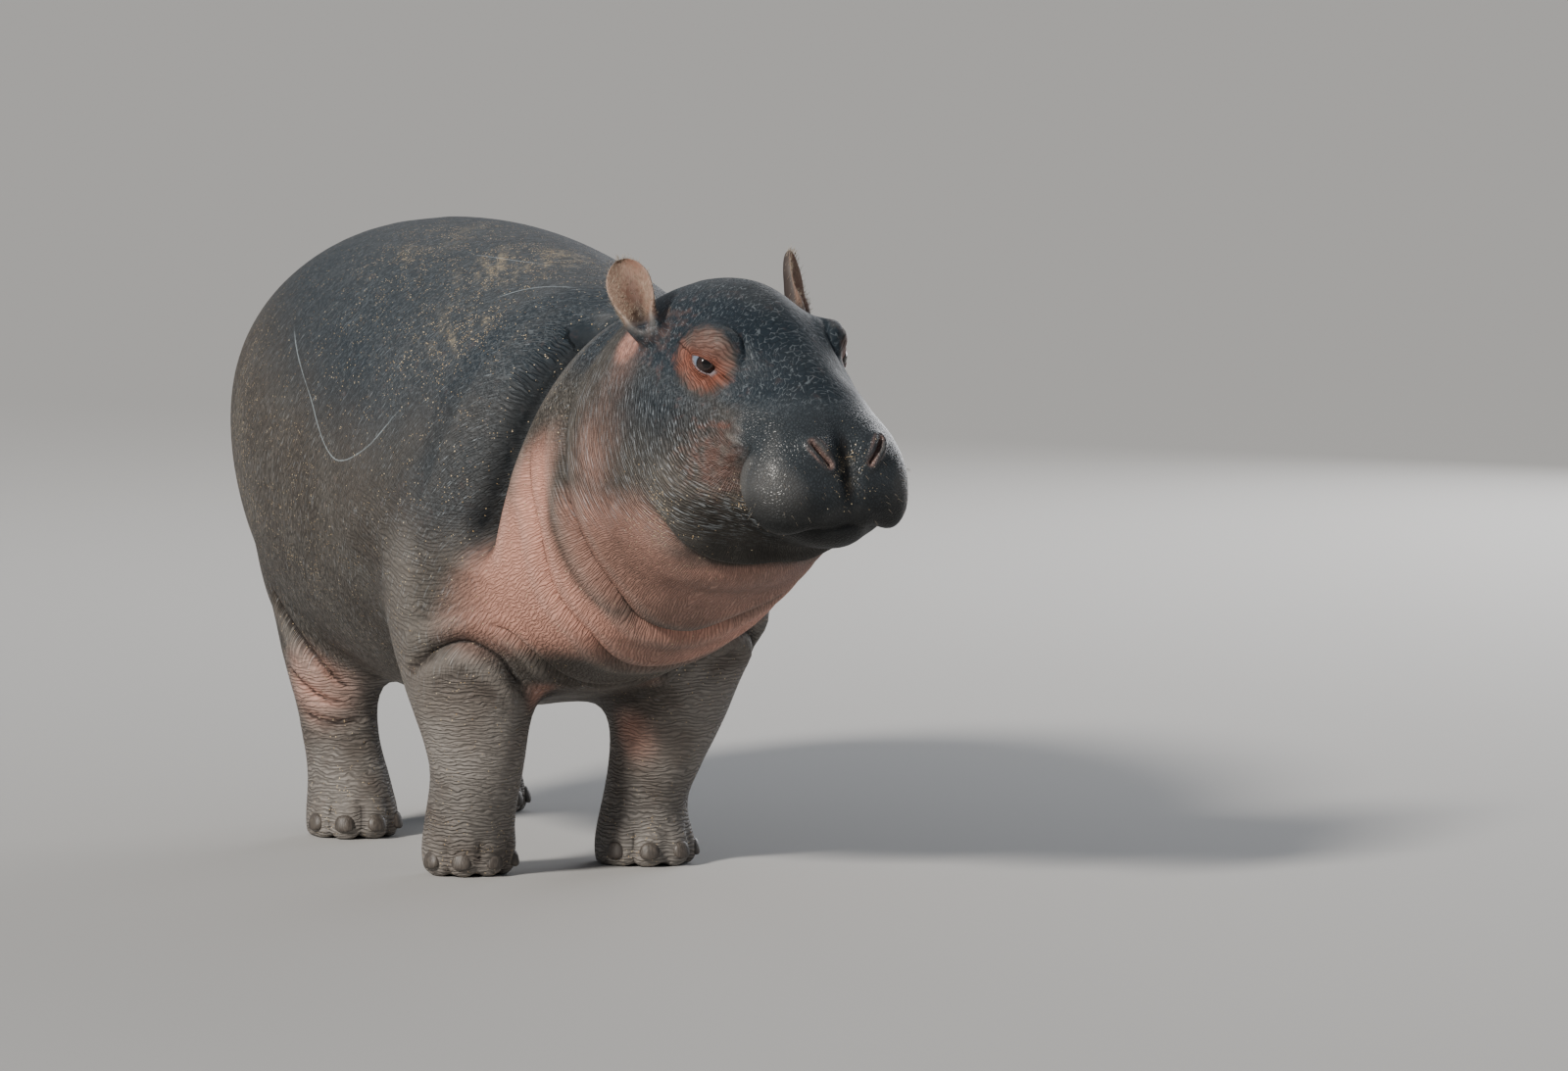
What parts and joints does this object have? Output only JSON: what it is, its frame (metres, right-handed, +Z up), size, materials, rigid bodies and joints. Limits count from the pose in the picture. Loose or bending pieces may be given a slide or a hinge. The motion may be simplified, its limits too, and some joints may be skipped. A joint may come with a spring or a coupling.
{
  "type": "hippopotamus calf",
  "caption": "Hippopotamus calf at life size, in mid step with its head turned a little to its left, standing on four flat-soled feet.",
  "frame": {"origin": "on the floor under the middle of the animal's box", "axes": "the animal faces -Y, its left side is +X, up is +Z"},
  "size_m": [0.4068, 1.1646, 0.5815],
  "materials": {
    "hide": "nearly bare wrinkled hide, slate grey to pink brown, satin where damp",
    "eye": "wet dark brown iris and pale blue-white rim",
    "nail": "dull dark horn"
  },
  "bodies": {
    "root": {"trunk": "hide", "neck": "hide", "head": "hide", "tail": "hide", "leg_front_left": "hide", "leg_front_right": "hide", "leg_rear_left": "hide", "leg_rear_right": "hide", "ear_left": "hide", "ear_right": "hide", "eye_left": "eye", "eye_right": "eye", "nail_front_left_1": "nail", "nail_front_left_2": "nail", "nail_front_left_3": "nail", "nail_front_left_4": "nail", "nail_front_right_1": "nail", "nail_front_right_2": "nail", "nail_front_right_3": "nail", "nail_front_right_4": "nail", "nail_rear_left_1": "nail", "nail_rear_left_2": "nail", "nail_rear_left_3": "nail", "nail_rear_left_4": "nail", "nail_rear_right_1": "nail", "nail_rear_right_2": "nail", "nail_rear_right_3": "nail", "nail_rear_right_4": "nail"}
  },
  "joints": []
}
